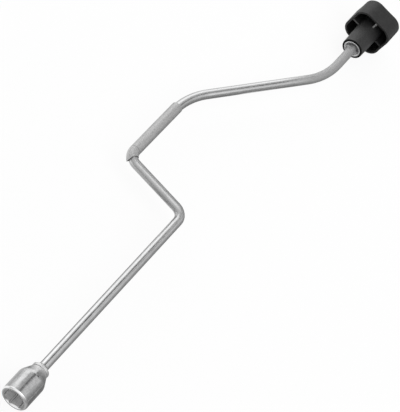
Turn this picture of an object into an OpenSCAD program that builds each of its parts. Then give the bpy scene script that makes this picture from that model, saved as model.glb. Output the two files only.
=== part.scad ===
// Cranked winder with a hexagon socket at one end and a turning palm knob at the other.
// Millimetres. The origin is the centre of the socket's mouth, +X runs along the shank
// from the mouth to the knob, +Y is the way the crank is thrown, +Z is up.

/* [Bar] */
// diameter of the round bar
bar_d = 10; // [8:0.5:14]
// distance from the socket's mouth to the corner where the crank arm turns off
shank_reach = 279.3; // [180:0.1:360]
// angle of the crank arm against the shank
arm_angle = 88; // [75:0.5:95]
// distance of the grip from the shank's line
throw = 77.75; // [50:0.25:120]
// corner to corner length of the grip
grip_reach = 103.5; // [80:0.5:160]
// slope of the bar on its way back from the grip to the knob
return_angle = 30.5; // [15:0.5:60]
// distance of the knob's line from the shank's line, on the side away from the grip
knob_drop = 12.4; // [0:0.2:20]
// centre line radius of the two sharp bends at the arm
sharp_bend_r = 11; // [9:0.5:25]
// centre line radius of the two easy bends beyond the grip
easy_bend_r = 90; // [60:1:110]
// how far the bar's end stands short of the knob's top
bar_end_below_top = 8.5; // [6:0.5:14]
// length of the chamfer on the bar's free end
bar_end_chamfer = 0.8; // [0.4:0.1:1.5]
// diameter of the two ears pinched out of the bar in front of the knob
ear_d = 4.4; // [3:0.1:6]
// thickness of the pinched ears
ear_t = 3; // [2:0.1:4]
// how far the ears stand out of the bar's side
ear_stand = 1.7; // [1:0.1:2.5]

/* [Socket] */
// width across the flats of the hexagon
hex_af = 19.3; // [17:0.1:24.5]
// depth of the hexagon
hex_depth = 22; // [15:1:30]
// depth of the round relief behind the hexagon
hex_relief = 3; // [1:0.5:5]
// outside diameter of the socket
socket_d = 28.4; // [24:0.2:36]
// length of the socket's cylinder
socket_barrel = 27; // [20:1:40]
// length of the cone behind the cylinder
socket_cone = 11; // [5:0.5:20]
// diameter of the socket's neck
neck_d = 18; // [14:0.5:24]
// length of the neck
neck_length = 4.5; // [3:0.5:12]
// depth of the groove that ends the cone
neck_groove = 0.5; // [0.2:0.1:1]
// width of the groove that ends the cone
neck_groove_w = 0.9; // [0.5:0.1:2]
// length of the bevel round the mouth
mouth_bevel = 2.4; // [0.5:0.1:4]
// how much the bevel narrows the mouth's radius
mouth_bevel_in = 1; // [0.3:0.1:2]
// depth to which the bar sits in the neck
bar_seat = 13; // [8:0.5:16]
// width of the weld ring on the neck's face
weld_leg = 2.6; // [1.5:0.1:3.5]

/* [Sleeve] */
// outside diameter of the turning sleeve
sleeve_d = 12; // [11.6:0.1:16]
// radial room between the sleeve and the bar
sleeve_room = 0.5; // [0.3:0.05:1]
// length of the sleeve
sleeve_length = 75; // [50:1:76]
// free play between the sleeve and its stop
sleeve_play = 0.3; // [0.3:0.1:1]
// outside diameter of the bent stop ferrule
stop_d = 12.8; // [12:0.1:15]
// how far the ferrule stands off towards the outside of the bend
stop_off = 0.6; // [0:0.1:0.9]
// part of the bend that the ferrule covers, in degrees
stop_sweep = 54; // [30:1:75]

/* [Knob] */
// distance of the knob's hub from the socket's mouth
hub_start = 592.3; // [560:0.1:620]
// whole length of the knob
knob_length = 57.7; // [45:0.1:70]
// hub diameter at the open end
hub_d = 23.8; // [22:0.1:28]
// hub diameter at the knob's top
hub_root_d = 26.4; // [24:0.1:32]
// width of the square palm head
head_w = 46.4; // [40:0.2:56]
// radius of the head's upright corners
head_corner_r = 14; // [8:0.5:18]
// height of the head's skirt with its top
head_h = 26; // [18:0.5:32]
// thickness of the head's wall
head_wall = 2.5; // [1.8:0.1:4]
// thickness of the head's top
head_top = 3.5; // [2.5:0.1:5]
// rounding of the head's top edge
head_edge_r = 3.5; // [1:0.1:4]
// thickness of the four ribs under the head
rib_t = 2.2; // [1.5:0.1:4]
// how far the ribs lie below the skirt's rim
rib_drop = 0.4; // [0:0.1:4]
// radial running room between the knob's hub and the bar
knob_room = 0.08; // [0.03:0.01:0.1]
// axial play between the knob and the parts that hold it
knob_play = 0.3; // [0.3:0.05:0.6]

/* [Knob fittings] */
// outside diameter of the cup pressed into the hub
cup_d = 19.6; // [18:0.1:21]
// depth of the cup
cup_depth = 3; // [2:0.1:5]
// sheet thickness of the cup
cup_t = 0.9; // [0.6:0.1:1.4]
// outside diameter of the end washer
washer_d = 16; // [14:0.5:18]
// thickness of the end washer
washer_t = 1.2; // [0.8:0.1:2]
// outside diameter of the push-on retainer
retainer_d = 15.4; // [13:0.2:17]
// thickness of the push-on retainer's flange
retainer_t = 1; // [0.6:0.1:1.5]
// height of the retainer's gripping collar
retainer_collar = 1.4; // [0.8:0.1:2.5]
// diameter of the pocket that holds the retainer
pocket_d = 17.4; // [16:0.2:19]
// depth of the pocket below the knob's top
pocket_depth = 14; // [12:0.5:18]
// diameter of the cap in the knob's top
cap_d = 19.4; // [18:0.2:22]
// thickness of the cap
cap_t = 2.6; // [1.6:0.1:3]
// length of the cap's skirt
cap_skirt = 3.6; // [2:0.1:5]
// wall of the cap's skirt
cap_wall = 1.2; // [0.8:0.1:2]
// room between the cap's skirt and the pocket
cap_room = 0.05; // [0.02:0.01:0.1]

/* [Hidden] */
$fn = 96;
bar_r = bar_d / 2;

// bends come out a hair thinner than the bar, and the straights lap into them
bend_thin = 0.04;
bend_lap = 0.5;
bend_r = bar_r - bend_thin;
mid_lift = throw + knob_drop;

// corners of the bar's centre line
arm_x = shank_reach;
grip_x = shank_reach + throw / tan(arm_angle);
back_x = grip_x + grip_reach;
stub_x = back_x + mid_lift / tan(return_angle);
top_x = hub_start + knob_length;
bar_end_x = top_x - bar_end_below_top;

// distance from a corner to where its bend starts
sharp_take = sharp_bend_r * tan(arm_angle / 2);
easy_take = easy_bend_r * tan(return_angle / 2);
return_length = mid_lift / sin(return_angle);

cone_end_x = socket_barrel + socket_cone;
socket_length = cone_end_x + neck_length;
bar_start_x = socket_length - bar_seat;

stop_x = grip_x + sharp_take;
sleeve_x = stop_x + sleeve_play;
sleeve_in_r = bar_r + sleeve_room;

rim_x = top_x - head_h;
bore_r = bar_r + knob_room;
pocket_x = top_x - pocket_depth;
washer_x = pocket_x + knob_play;
retainer_x = washer_x + washer_t;
retainer_end_x = retainer_x + retainer_t + retainer_collar;
cup_base_x = hub_start + cup_depth - cup_t;
ear_x = cup_base_x - knob_play - ear_d / 2;

// a round bar from x0 to x1 whose radius goes from r0 to r1
module turned(x0, x1, r0, r1) {
    translate([x0, 0, 0])
        rotate([0, 90, 0])
            cylinder(h = x1 - x0, r1 = r0, r2 = r1);
}

// a solid turned about the X axis from a list of [x, radius] corners
module lathe(corners) {
    rotate([0, 90, 0])
        rotate_extrude()
            polygon([for (c = corners) [c[1], c[0]]]);
}

// a straight piece of the bar from a point, along a heading in the plan, lapped into the bends
module straight(x, y, heading, length) {
    translate([x, y, 0])
        rotate([0, 0, heading])
            translate([-bend_lap, 0, 0])
                rotate([0, 90, 0])
                    cylinder(h = length + 2 * bend_lap, r = bar_r);
}

// a bend to the left that starts at a point with a heading; off and r shape the section
module bend_left(x, y, heading, turn, radius, off, r) {
    translate([x - radius * sin(heading), y + radius * cos(heading), 0])
        rotate([0, 0, heading - 90])
            rotate_extrude(angle = turn)
                translate([radius + off, 0])
                    circle(r = r);
}

// a bend to the right that starts at a point with a heading
module bend_right(x, y, heading, turn, radius, off, r) {
    translate([x + radius * sin(heading), y - radius * cos(heading), 0])
        rotate([0, 0, heading + 90 - turn])
            rotate_extrude(angle = turn)
                translate([radius + off, 0])
                    circle(r = r);
}

// the bar without its ears
module bar_line() {
    turned(bar_start_x, arm_x - sharp_take + bend_lap, bar_r, bar_r);
    bend_left(arm_x - sharp_take, 0, 0, arm_angle, sharp_bend_r, 0, bend_r);
    straight(arm_x + sharp_take * cos(arm_angle), sharp_take * sin(arm_angle), arm_angle,
        throw / sin(arm_angle) - 2 * sharp_take);
    bend_right(grip_x - sharp_take * cos(arm_angle), throw - sharp_take * sin(arm_angle),
        arm_angle, arm_angle, sharp_bend_r, 0, bend_r);
    straight(grip_x + sharp_take, throw, 0, grip_reach - sharp_take - easy_take);
    bend_right(back_x - easy_take, throw, 0, return_angle, easy_bend_r, 0, bend_r);
    straight(back_x + easy_take * cos(return_angle), throw - easy_take * sin(return_angle),
        -return_angle, return_length - 2 * easy_take);
    bend_left(stub_x - easy_take * cos(return_angle), easy_take * sin(return_angle) - knob_drop,
        -return_angle, return_angle, easy_bend_r, 0, bend_r);
    translate([0, -knob_drop, 0])
        lathe([
            [stub_x + easy_take - bend_lap, 0], [stub_x + easy_take - bend_lap, bar_r],
            [bar_end_x - bar_end_chamfer, bar_r], [bar_end_x, bar_r - bar_end_chamfer],
            [bar_end_x, 0]
        ]);
}

// the bar, bent in one plane, with two ears pinched out to stop the knob
module crank_rod() {
    color([0.72, 0.73, 0.75])
        union() {
            bar_line();
            for (side = [-1, 1])
                translate([ear_x, side * (bar_r + ear_stand - ear_d / 2) - knob_drop, 0])
                    cylinder(h = ear_t, d = ear_d, center = true);
        }
}

// the socket that goes over the steady's hexagon
module hex_socket() {
    color([0.66, 0.67, 0.69])
        difference() {
            lathe([
                [0, 0], [0, socket_d / 2 - mouth_bevel_in], [mouth_bevel, socket_d / 2],
                [socket_barrel, socket_d / 2], [cone_end_x, neck_d / 2],
                [cone_end_x, neck_d / 2 - neck_groove],
                [cone_end_x + neck_groove_w, neck_d / 2 - neck_groove],
                [cone_end_x + neck_groove_w, neck_d / 2], [socket_length, neck_d / 2],
                [socket_length, 0]
            ]);
            translate([-1, 0, 0])
                rotate([0, 90, 0])
                    cylinder(h = hex_depth + 1, d = hex_af / cos(30), $fn = 6);
            turned(hex_depth - 0.5, hex_depth + hex_relief, hex_af / 2, hex_af / 2);
            turned(bar_start_x, socket_length + 1, bar_r, bar_r);
        }
}

// the weld that ties the bar to the neck
module socket_weld() {
    color([0.5, 0.5, 0.52])
        difference() {
            turned(socket_length, socket_length + weld_leg, bar_r + weld_leg, bar_r + 0.5);
            turned(socket_length - 1, socket_length + weld_leg + 1, bar_r, bar_r);
        }
}

// the short bent ferrule that keeps the sleeve off the crank arm
module sleeve_stop() {
    color([0.5, 0.51, 0.53])
        difference() {
            bend_right(stop_x - sharp_bend_r * sin(stop_sweep),
                throw - sharp_bend_r * (1 - cos(stop_sweep)),
                stop_sweep, stop_sweep, sharp_bend_r, stop_off, stop_d / 2);
            bend_right(grip_x - sharp_take * cos(arm_angle), throw - sharp_take * sin(arm_angle),
                arm_angle, arm_angle + 4, sharp_bend_r, 0, bend_r);
        }
}

// the loose tube that turns on the grip
module grip_sleeve() {
    color([0.55, 0.56, 0.57])
        translate([0, throw, 0])
            difference() {
                turned(sleeve_x, sleeve_x + sleeve_length, sleeve_d / 2, sleeve_d / 2);
                turned(sleeve_x - 1, sleeve_x + sleeve_length + 1, sleeve_in_r, sleeve_in_r);
            }
}

// the dished metal cup that faces the ears
module hub_cup() {
    color([0.8, 0.81, 0.83])
        translate([0, -knob_drop, 0])
            difference() {
                turned(hub_start, hub_start + cup_depth, cup_d / 2, cup_d / 2);
                turned(hub_start - 1, cup_base_x, cup_d / 2 - cup_t, cup_d / 2 - cup_t);
                turned(cup_base_x - 1, hub_start + cup_depth + 1, bore_r, bore_r);
            }
}

// the head's outer block with a rounded top edge
module head_block(width, corner, edge) {
    flat = width - 2 * corner;
    translate([rim_x, 0, 0])
        rotate([0, 90, 0]) {
            linear_extrude(height = head_h - edge)
                rounded_square(width, corner);
            for (u = [-1, 1])
                for (v = [-1, 1])
                    translate([u * flat / 2, v * flat / 2, head_h - edge])
                        rotate_extrude()
                            edge_profile(corner, edge);
            for (turn = [0, 90])
                rotate([0, 0, turn])
                    translate([0, flat / 2, head_h - edge])
                        rotate([90, 0, 0])
                            linear_extrude(height = flat)
                                union() {
                                    edge_profile(width / 2, edge);
                                    mirror([1, 0, 0])
                                        edge_profile(width / 2, edge);
                                }
        }
}

// half a section of the rounded top edge
module edge_profile(half, edge) {
    square([half - edge, edge]);
    intersection() {
        translate([half - edge, 0])
            circle(r = edge);
        square([half, edge]);
    }
}

// a square with rounded corners
module rounded_square(width, corner) {
    square([width, width - 2 * corner], center = true);
    square([width - 2 * corner, width], center = true);
    for (u = [-1, 1])
        for (v = [-1, 1])
            translate([u * (width / 2 - corner), v * (width / 2 - corner)])
                circle(r = corner);
}

// the moulded knob: hub, hollow palm head and four ribs
module knob_body() {
    color([0.12, 0.12, 0.13])
        translate([0, -knob_drop, 0])
            difference() {
                union() {
                    turned(hub_start, top_x - head_top + 0.5, hub_d / 2, hub_root_d / 2);
                    difference() {
                        head_block(head_w, head_corner_r, head_edge_r);
                        translate([rim_x - 1, 0, 0])
                            rotate([0, 90, 0])
                                linear_extrude(height = head_h - head_top + 1)
                                    rounded_square(head_w - 2 * head_wall,
                                        head_corner_r - head_wall);
                    }
                    for (turn = [0, 90])
                        rotate([turn, 0, 0])
                            translate([rim_x + rib_drop, -head_w / 2 + head_wall / 2, -rib_t / 2])
                                cube([head_h - head_top, head_w - head_wall, rib_t]);
                }
                turned(hub_start - 1, hub_start + cup_depth, cup_d / 2, cup_d / 2);
                turned(hub_start, top_x + 1, bore_r, bore_r);
                turned(pocket_x, top_x + 1, pocket_d / 2, pocket_d / 2);
                turned(top_x - cap_t, top_x + 1, cap_d / 2, cap_d / 2);
            }
}

// the loose washer between the hub and its retainer
module end_washer() {
    color([0.74, 0.75, 0.77])
        translate([0, -knob_drop, 0])
            difference() {
                turned(washer_x, retainer_x, washer_d / 2, washer_d / 2);
                turned(washer_x - 1, retainer_x + 1, bar_r, bar_r);
            }
}

// the pressed ring that grips the bar's end
module push_on_retainer() {
    color([0.35, 0.35, 0.37])
        translate([0, -knob_drop, 0])
            difference() {
                lathe([
                    [retainer_x, 0], [retainer_x, retainer_d / 2],
                    [retainer_x + retainer_t, retainer_d / 2],
                    [retainer_x + retainer_t, bar_r + 1.6], [retainer_end_x, bar_r + 0.8],
                    [retainer_end_x, 0]
                ]);
                turned(retainer_x - 1, retainer_end_x + 1, bar_r, bar_r);
            }
}

// the plug that closes the knob's top
module knob_cap() {
    color([0.14, 0.14, 0.15])
        translate([0, -knob_drop, 0])
            difference() {
                lathe([
                    [top_x - cap_t - cap_skirt, 0],
                    [top_x - cap_t - cap_skirt, pocket_d / 2 - cap_room],
                    [top_x - cap_t, pocket_d / 2 - cap_room], [top_x - cap_t, cap_d / 2],
                    [top_x, cap_d / 2], [top_x, 0]
                ]);
                turned(top_x - cap_t - cap_skirt - 1, top_x - cap_t,
                    pocket_d / 2 - cap_room - cap_wall, pocket_d / 2 - cap_room - cap_wall);
            }
}

crank_rod();
hex_socket();
socket_weld();
sleeve_stop();
grip_sleeve();
hub_cup();
knob_body();
end_washer();
push_on_retainer();
knob_cap();
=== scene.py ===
"""Dresses a cranked winder: a bent bar, a hexagon socket, a turning sleeve and a palm knob.

The origin is the centre of the socket's mouth, +X runs along the shank to the knob, +Y is the
way the crank is thrown and +Z is up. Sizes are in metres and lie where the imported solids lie.
"""

import logging
import math
from contextlib import contextmanager
from dataclasses import dataclass, field
from enum import Enum
from typing import Any, Callable, Iterator, Sequence

import bmesh
import bpy
from mathutils import Matrix, Vector
from mathutils.kdtree import KDTree


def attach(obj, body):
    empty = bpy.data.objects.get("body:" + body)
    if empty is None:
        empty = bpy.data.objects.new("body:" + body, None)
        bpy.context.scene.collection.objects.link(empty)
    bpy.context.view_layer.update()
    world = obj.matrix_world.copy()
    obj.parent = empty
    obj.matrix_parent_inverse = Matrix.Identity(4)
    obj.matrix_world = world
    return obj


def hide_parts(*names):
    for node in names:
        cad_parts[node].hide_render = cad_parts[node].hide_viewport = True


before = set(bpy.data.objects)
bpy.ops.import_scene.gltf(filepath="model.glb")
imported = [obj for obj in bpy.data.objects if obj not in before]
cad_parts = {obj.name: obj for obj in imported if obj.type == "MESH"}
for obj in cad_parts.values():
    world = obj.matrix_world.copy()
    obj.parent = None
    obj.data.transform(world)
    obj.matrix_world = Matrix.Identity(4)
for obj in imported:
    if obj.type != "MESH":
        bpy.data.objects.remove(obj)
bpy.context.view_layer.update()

MM = 0.001
# Places nearer than this count as one
HAIR = 0.02 * MM
# Sizes that the sub-assemblies share: the bar's, and where the grip's and the knob's lines lie
BAR_RADIUS = 5 * MM
SHARP_BEND = 11 * MM
THROW = 77.75 * MM
KNOB_Y = -12.4 * MM
# The turn that lays a primitive's axis along X
ACROSS = (0, math.pi / 2, 0)
log = logging.getLogger("winder")

Pair = tuple[float, float]
Point = tuple[float, float, float]
Piece = bpy.types.Object
Test = Callable[[Vector], bool]


# Modelling by hand


class Element(Enum):
    """What an edit-mode selection is made of."""

    VERTEX = "VERT"
    EDGE = "EDGE"
    FACE = "FACE"


def take(piece: Piece | None) -> None:
    """Selects one object and nothing else.

    Args:
        piece: The object to work on, or None to leave everything deselected.
    """
    bpy.ops.object.select_all(action="DESELECT")
    bpy.context.view_layer.objects.active = piece
    if piece is not None:
        piece.select_set(True)


def adopt(name: str) -> Piece:
    """Names the primitive that was just added and puts its place into its mesh.

    Args:
        name: The name of the object and its mesh.

    Returns:
        The new object, at the origin and unturned.
    """
    piece = bpy.context.active_object
    piece.name = piece.data.name = name
    take(piece)
    bpy.ops.object.transform_apply(location=True, rotation=True, scale=True)
    return piece


def hoop(name: str, radius: float, place: Point, sides: int) -> Piece:
    """Starts a piece from an open ring that stands across X."""
    bpy.ops.mesh.primitive_circle_add(vertices=sides, radius=radius, location=place, rotation=ACROSS)
    return adopt(name)


@contextmanager
def editing(piece: Piece) -> Iterator[None]:
    """Opens a piece in edit mode with nothing selected, and closes it again.

    Args:
        piece: The piece.

    Yields:
        Nothing.
    """
    take(piece)
    bpy.ops.object.mode_set(mode="EDIT")
    bpy.ops.mesh.select_all(action="DESELECT")
    try:
        yield
    finally:
        bpy.ops.object.mode_set(mode="OBJECT")


def pick(element: Element, keep: Test) -> int:
    """Selects what lies in a place, and nothing else.

    Args:
        element: Whether vertices, edges or faces are picked.
        keep: Tells of a vertex's place whether it is in. All corners of an edge or face have to be.

    Returns:
        How many were picked.
    """
    bpy.ops.mesh.select_mode(type=element.value)
    bpy.ops.mesh.select_all(action="DESELECT")
    mesh = bpy.context.edit_object.data
    cage = bmesh.from_edit_mesh(mesh)
    inside = {vertex: keep(vertex.co) for vertex in cage.verts}
    if element is Element.VERTEX:
        found = [vertex for vertex in cage.verts if inside[vertex]]
    else:
        parts = cage.edges if element is Element.EDGE else cage.faces
        found = [part for part in parts if all(inside[vertex] for vertex in part.verts)]
    for item in found:
        item.select_set(True)
    bmesh.update_edit_mesh(mesh)
    return len(found)


def anywhere(_: Vector) -> bool:
    """A test that every place passes."""
    return True


def distance(place: Vector, axis_y: float) -> float:
    """How far a place is from the line along X through axis_y."""
    return math.hypot(place.y - axis_y, place.z)


def push(step: Point) -> None:
    """Moves the selection."""
    bpy.ops.transform.translate(value=step)


def draw_out(step: Point) -> None:
    """Extrudes the selected faces and moves them."""
    bpy.ops.mesh.extrude_region_move()
    push(step)


def draw_on(step: Point) -> None:
    """Extrudes the selected open ring and moves it."""
    bpy.ops.mesh.extrude_edges_move()
    push(step)


def scale(factor: float, centre: Point) -> None:
    """Narrows or widens the selection across X, about a centre."""
    bpy.ops.transform.resize(value=(1, factor, factor), center_override=centre)


def pull(step: Point, falloff: str, reach: float) -> None:
    """Moves the selection and draws along what lies within reach of it."""
    bpy.ops.transform.translate(value=step, use_proportional_edit=True,
                                proportional_edit_falloff=falloff, proportional_size=reach)


def swing(angle: float, centre: Point, steps: int) -> None:
    """Spins the selection about a line along Z, anticlockwise seen from above."""
    bpy.ops.mesh.spin(steps=steps, angle=-angle, center=centre, axis=(0, 0, 1))


def pivot(angle: float, centre: Point) -> None:
    """Turns the selection about a line along Z, anticlockwise seen from above."""
    bpy.ops.transform.rotate(value=-angle, orient_axis="Z", center_override=centre)


def round_off(width: float, keep: Test, steps: int = 3) -> None:
    """Rounds the edges that lie in a place, in edit mode.

    Args:
        width: How wide the rounding is on either side of the edge.
        keep: Tells of an edge's ends whether they are in.
        steps: How many faces it has across.
    """
    if not pick(Element.EDGE, keep):
        raise ValueError(f"{bpy.context.edit_object.name} has no edge to round by {width}")
    bpy.ops.mesh.bevel(offset=width, segments=steps, affect="EDGES")


def close_up() -> None:
    """Merges what coincides and turns every face outwards, in edit mode."""
    bpy.ops.mesh.select_mode(type="VERT")
    bpy.ops.mesh.select_all(action="SELECT")
    bpy.ops.mesh.remove_doubles(threshold=HAIR / 4)
    bpy.ops.mesh.normals_make_consistent(inside=False)


def turn(name: str, corners: Sequence[tuple[float, ...]], axis_y: float = 0.0,
         ring_like: bool = False, sides: int = 96, steps: int = 4) -> Piece:
    """Turns a piece about a line along X: a ring is extruded and resized from corner to corner.

    Args:
        name: The piece's name.
        corners: Place along X, radius, and for a rounded corner how wide its rounding is.
        axis_y: Where the line lies.
        ring_like: Whether the last corner is joined to the first, instead of capping both ends.
        sides: How many sides the ring has.
        steps: How many faces a rounding has across.

    Returns:
        A closed piece.
    """
    x, radius = corners[0][:2]
    piece = hoop(name, radius, (x, axis_y, 0), sides)
    with editing(piece):
        bpy.ops.mesh.select_all(action="SELECT")
        if not ring_like:
            bpy.ops.mesh.edge_face_add()
            pick(Element.EDGE, anywhere)
        for next_x, next_radius, *_ in [*corners[1:], *corners[:1 if ring_like else 0]]:
            draw_on((next_x - x, 0, 0))
            scale(next_radius / radius, (next_x, axis_y, 0))
            x, radius = next_x, next_radius
        if not ring_like:
            bpy.ops.mesh.edge_face_add()
        close_up()
        for x, radius, width in (corner for corner in corners if len(corner) > 2):
            round_off(width, lambda p: abs(p.x - x) < HAIR
                      and abs(distance(p, axis_y) - radius) < HAIR, steps)
        close_up()
    return piece


def modify(piece: Piece, kind: str, **settings: Any) -> None:
    """Adds a modifier to a piece, sets it and applies it.

    Args:
        piece: The piece.
        kind: The modifier's type.
        **settings: Its properties.
    """
    take(piece)
    modifier = piece.modifiers.new(kind.lower(), kind)
    for key, value in settings.items():
        setattr(modifier, key, value)
    bpy.ops.object.modifier_apply(modifier=modifier.name)


def cut(piece: Piece, tool: Piece, operation: str = "DIFFERENCE") -> None:
    """Cuts a piece with a tool, or joins the tool to it, and throws the tool away."""
    modify(piece, "BOOLEAN", object=tool, operation=operation, solver="EXACT")
    bpy.data.objects.remove(tool, do_unlink=True)


def smooth(piece: Piece, angle: float = 32.0) -> Piece:
    """Shades a piece smooth, with its broad faces kept flat.

    Args:
        piece: The piece.
        angle: Degrees from which an edge stays sharp.

    Returns:
        The piece.
    """
    take(piece)
    bpy.ops.object.shade_smooth_by_angle(angle=math.radians(angle))
    modify(piece, "WEIGHTED_NORMAL", keep_sharp=True)
    return piece


def unroll(piece: Piece, where: Callable[[Vector], Point]) -> None:
    """Keeps on each vertex where it lies when the piece is straightened, for its finish.

    Args:
        piece: The piece.
        where: Tells of a vertex's place where that is along, across and up.
    """
    places = piece.data.attributes.new("unrolled", "FLOAT_VECTOR", "POINT")
    for number, vertex in enumerate(piece.data.vertices):
        places.data[number].vector = where(vertex.co)


# Shader arithmetic


class Value:
    """A shader socket that takes part in Python arithmetic."""

    def __init__(self, shader: "Shader", socket: bpy.types.NodeSocket) -> None:
        """Wraps a socket of a shader."""
        self.shader = shader
        self.socket = socket

    def _math(self, operation: str, first: Any, second: Any) -> "Value":
        """A Math node's result on two values."""
        return self.shader.value("ShaderNodeMath", {"operation": operation}, {0: first, 1: second})

    def __add__(self, other: Any) -> "Value":
        """self + other."""
        return self._math("ADD", self, other)

    def __radd__(self, other: Any) -> "Value":
        """other + self."""
        return self._math("ADD", other, self)

    def __sub__(self, other: Any) -> "Value":
        """self - other."""
        return self._math("SUBTRACT", self, other)

    def __rsub__(self, other: Any) -> "Value":
        """other - self."""
        return self._math("SUBTRACT", other, self)

    def __mul__(self, other: Any) -> "Value":
        """self * other."""
        return self._math("MULTIPLY", self, other)

    def __rmul__(self, other: Any) -> "Value":
        """other * self."""
        return self._math("MULTIPLY", other, self)

    def larger(self, other: "Value") -> "Value":
        """The larger of the two."""
        return self._math("MAXIMUM", self, other)

    def sway(self, width: float) -> "Value":
        """How a value from 0 to 1 strays from its middle, over a range of that width."""
        return (self - 0.5) * width


class Shader:
    """Builds the nodes of one material or of the world."""

    def __init__(self, tree: bpy.types.NodeTree) -> None:
        """Starts from an empty tree."""
        self.tree = tree
        tree.nodes.clear()

    def node(self, kind: str, settings: dict[str, Any] | None = None,
             inputs: dict[int | str, Any] | None = None) -> bpy.types.Node:
        """Adds a node.

        Args:
            kind: The node's type.
            settings: Its properties, which are set first.
            inputs: Numbers, colours or sockets for its inputs, by name or place.

        Returns:
            The node.
        """
        node = self.tree.nodes.new(kind)
        for key, value in (settings or {}).items():
            setattr(node, key, value)
        for key, value in (inputs or {}).items():
            socket = node.inputs[key]
            if isinstance(value, Value):
                self.tree.links.new(value.socket, socket)
            else:
                socket.default_value = value
        return node

    def value(self, kind: str, settings: dict[str, Any] | None = None,
              inputs: dict[int | str, Any] | None = None, output: int | str = 0) -> Value:
        """Adds a node and returns one of its outputs."""
        return Value(self, self.node(kind, settings, inputs).outputs[output])

    def values(self, node: bpy.types.Node, names: Sequence[str]) -> list[Value]:
        """Some of a node's outputs, by name."""
        return [Value(self, node.outputs[name]) for name in names]

    def place(self, size: Point = (1, 1, 1), source: str | None = None,
              shift: Point = (0, 0, 0)) -> Value:
        """Coordinates in which one unit is size metres along each axis.

        Args:
            size: Metres to a unit, along X, Y and Z.
            source: A point attribute to read, or None for Object coordinates.
            shift: Metres by which the pattern is moved.

        Returns:
            The mapped coordinates.
        """
        if source:
            start = self.value("ShaderNodeAttribute", {"attribute_name": source}, output="Vector")
        else:
            start = self.value("ShaderNodeTexCoord", output="Object")
        return self.value("ShaderNodeMapping", None, {
            "Vector": start, "Location": tuple(m / s for m, s in zip(shift, size)),
            "Scale": tuple(1 / s for s in size)})

    def grain(self, size: Point | float, source: str | None = None, detail: float = 2.0,
              rough: float = 0.5, shift: Point = (0, 0, 0), warp: float = 0.0) -> Value:
        """Noise from 0 to 1, whose spots are size metres along X, Y and Z or along all three."""
        sizes = (size,) * 3 if isinstance(size, float) else size
        return self.value("ShaderNodeTexNoise", None, {
            "Vector": self.place(sizes, source, shift), "Scale": 1.0, "Detail": detail,
            "Roughness": rough, "Distortion": warp})

    def ramp(self, value: Value, low: float, high: float) -> Value:
        """Stretches a value so that low becomes 0 and high becomes 1, smoothly and clamped."""
        return self.value("ShaderNodeMapRange", {"interpolation_type": "SMOOTHSTEP"},
                          {0: value, 1: low, 2: high, 3: 0.0, 4: 1.0})

    def blend(self, factor: Value | float, first: Any, second: Any) -> Value:
        """Mixes two colours."""
        return self.value("ShaderNodeMix", {"data_type": "RGBA"},
                          {0: factor, 6: first, 7: second}, output=2)

    def bump(self, height: Value, depth: float, strength: float) -> Value:
        """A normal from a height of depth metres."""
        return self.value("ShaderNodeBump", None,
                          {"Strength": strength, "Distance": depth, "Height": height})

    def glow(self, colour: Any, strength: float = 1.0) -> Value:
        """A surface that shines by itself."""
        return self.value("ShaderNodeEmission", None, {"Color": colour, "Strength": strength})

    def end(self, surface: Value) -> None:
        """Ends a material in a surface."""
        self.node("ShaderNodeOutputMaterial", None, {"Surface": surface})


def grey(level: float, warm: float = 0.0) -> tuple[float, float, float, float]:
    """A neutral colour, a little warm or cool."""
    return (level * (1 + warm), level, level * (1 - warm), 1.0)


def new_material(name: str) -> tuple[bpy.types.Material, Shader]:
    """Starts a material.

    Args:
        name: Its name.

    Returns:
        The material and its empty shader.
    """
    material = bpy.data.materials.new(name)
    material.use_nodes = True
    return material, Shader(material.node_tree)


# Finishes

Look = tuple[Value, Value, Value]


@dataclass(frozen=True, kw_only=True)
class Finish:
    """What every finish tells: its name, its two tones, its roughness, its gloss and its relief.

    span is the stretch of the pattern over which the dark tone turns into the pale one, relief is
    how many metres deep the pattern is, and bite how much of that shows.
    """

    name: str
    pale: float
    dark: float
    roughness: float
    metallic: float = 1.0
    gloss: float = 0.5
    span: Pair = (0.36, 0.64)
    relief: float = 0.03 * MM
    bite: float = 0.8

    def make(self) -> bpy.types.Material:
        """Builds the material.

        Returns:
            The material, which ends in one principled surface.
        """
        material, sh = new_material(self.name)
        colour, uneven, height = self.look(sh)
        sh.end(sh.value("ShaderNodeBsdfPrincipled", None, {
            "Metallic": self.metallic, "Specular IOR Level": self.gloss, "Base Color": colour,
            "Roughness": self.roughness + uneven,
            "Normal": sh.bump(height, self.relief, self.bite)}))
        return material

    def look(self, sh: Shader) -> Look:
        """What each finish tells for itself."""
        raise NotImplementedError(sh)

    def tone(self, sh: Shader, pattern: Value, warm: float = 0.0) -> Value:
        """The colour that a pattern from 0 to 1 gives."""
        return sh.blend(sh.ramp(pattern, *self.span), grey(self.dark, warm), grey(self.pale, warm))


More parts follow.
